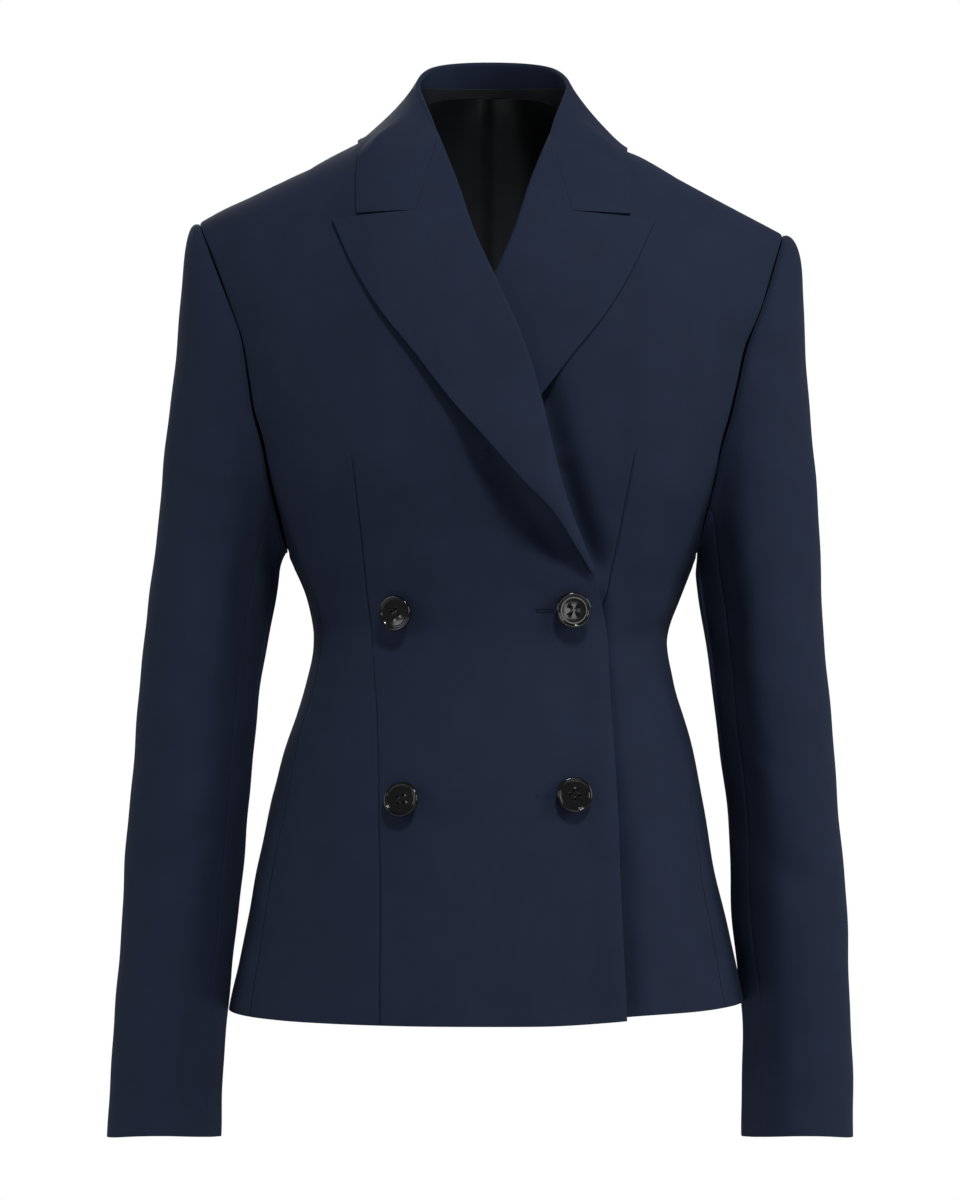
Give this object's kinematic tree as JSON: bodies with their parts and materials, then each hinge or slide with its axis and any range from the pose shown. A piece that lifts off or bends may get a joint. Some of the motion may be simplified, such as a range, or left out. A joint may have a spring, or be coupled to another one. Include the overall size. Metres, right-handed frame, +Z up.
{
  "type": "double breasted blazer",
  "caption": "Women's fitted double-breasted blazer with peak lapels, long two-piece sleeves and four-hole buttons, hollow and filled out as if worn.",
  "frame": {"origin": "midway between the two points where the shoulder lines meet the neck, where the wearer's shoulders hold the garment up", "axes": "+Z up, -Y out of the wearer's front, +X to the wearer's left"},
  "size_m": [0.504, 0.265, 0.7366],
  "materials": {
    "navy_wool": "fine smooth wool, matt with a soft sheen",
    "black_satin": "smooth satin lining",
    "black_horn": "polished"
  },
  "bodies": {
    "root": {"front_right": "navy_wool", "front_left": "navy_wool", "side_right": "navy_wool", "side_left": "navy_wool", "back_right": "navy_wool", "back_left": "navy_wool", "top_sleeve_right": "navy_wool", "top_sleeve_left": "navy_wool", "under_sleeve_right": "navy_wool", "under_sleeve_left": "navy_wool", "collar": "navy_wool", "lapel_right": "navy_wool", "lapel_left": "navy_wool", "back_lining": "black_satin", "button_right_waist": "black_horn", "button_left_waist": "black_horn", "button_right_skirt": "black_horn", "button_left_skirt": "black_horn"}
  },
  "joints": []
}
